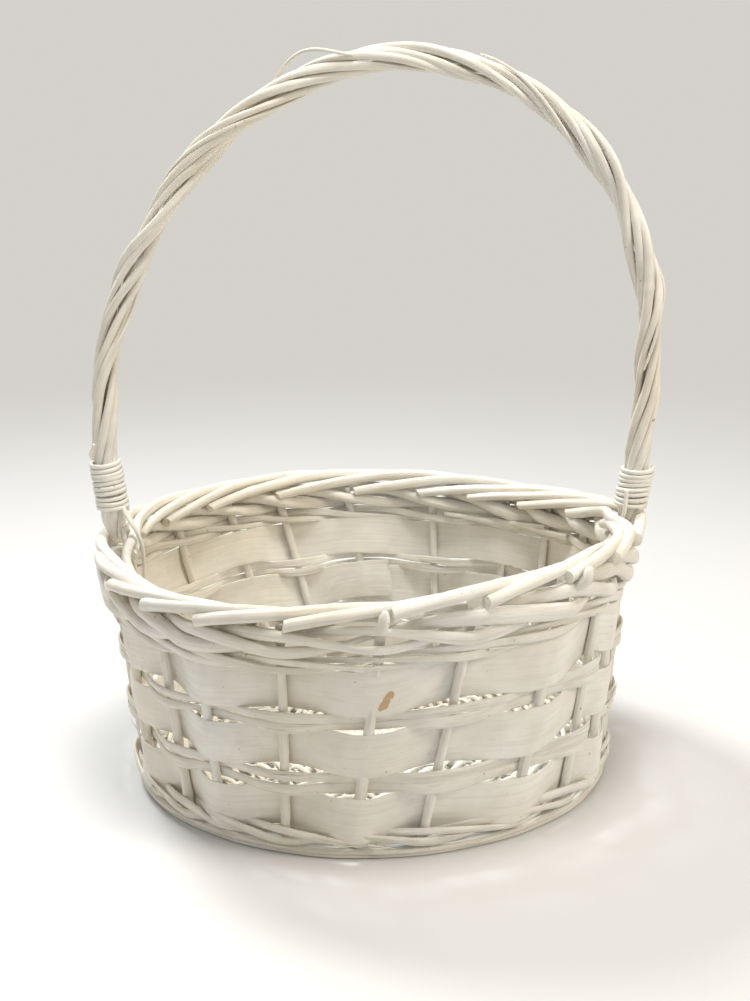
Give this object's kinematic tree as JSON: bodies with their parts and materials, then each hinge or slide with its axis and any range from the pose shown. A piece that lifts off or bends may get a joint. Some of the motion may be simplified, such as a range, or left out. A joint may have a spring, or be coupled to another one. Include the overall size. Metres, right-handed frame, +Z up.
{
  "type": "woven market basket",
  "caption": "Round white-painted willow and wood-chip basket with flared walls, a rod border and a fixed tall twisted hoop handle.",
  "frame": {"origin": "middle of the whole object's footprint, on the floor plane under the foot ring", "axes": "+Z up, -Y towards the front of the basket, +X to the right; the hoop handle stands in the XZ plane"},
  "size_m": [0.3457, 0.3334, 0.435],
  "materials": {
    "painted_willow": "satin",
    "painted_chip": "satin",
    "painted_cane": "satin"
  },
  "bodies": {
    "root": {"stake_01": "painted_willow", "stake_02": "painted_willow", "stake_03": "painted_willow", "stake_04": "painted_willow", "stake_05": "painted_willow", "stake_06": "painted_willow", "stake_07": "painted_willow", "stake_08": "painted_willow", "stake_09": "painted_willow", "stake_10": "painted_willow", "stake_11": "painted_willow", "stake_12": "painted_willow", "stake_13": "painted_willow", "stake_14": "painted_willow", "stake_15": "painted_willow", "stake_16": "painted_willow", "stake_17": "painted_willow", "stake_18": "painted_willow", "stake_19": "painted_willow", "stake_20": "painted_willow", "stake_21": "painted_willow", "stake_22": "painted_willow", "border_rod_01": "painted_willow", "border_rod_02": "painted_willow", "border_rod_03": "painted_willow", "border_rod_04": "painted_willow", "border_rod_05": "painted_willow", "border_rod_06": "painted_willow", "border_rod_07": "painted_willow", "border_rod_08": "painted_willow", "border_rod_09": "painted_willow", "border_rod_10": "painted_willow", "border_rod_11": "painted_willow", "border_rod_12": "painted_willow", "border_rod_13": "painted_willow", "border_rod_14": "painted_willow", "border_rod_15": "painted_willow", "border_rod_16": "painted_willow", "border_rod_17": "painted_willow", "border_rod_18": "painted_willow", "border_rod_19": "painted_willow", "border_rod_20": "painted_willow", "band_1": "painted_chip", "band_2": "painted_chip", "band_3": "painted_chip", "pair_1": "painted_willow", "pair_2": "painted_willow", "lower_wale": "painted_willow", "top_wale": "painted_willow", "foot_wale": "painted_willow", "base_sticks": "painted_willow", "base_weave": "painted_willow", "left_binding": "painted_cane", "right_binding": "painted_cane", "handle_rod_1": "painted_willow", "handle_rod_2": "painted_willow", "handle_rod_3": "painted_willow", "handle_rod_4": "painted_willow", "handle_rod_5": "painted_willow", "handle_rod_6": "painted_willow"}
  },
  "joints": []
}
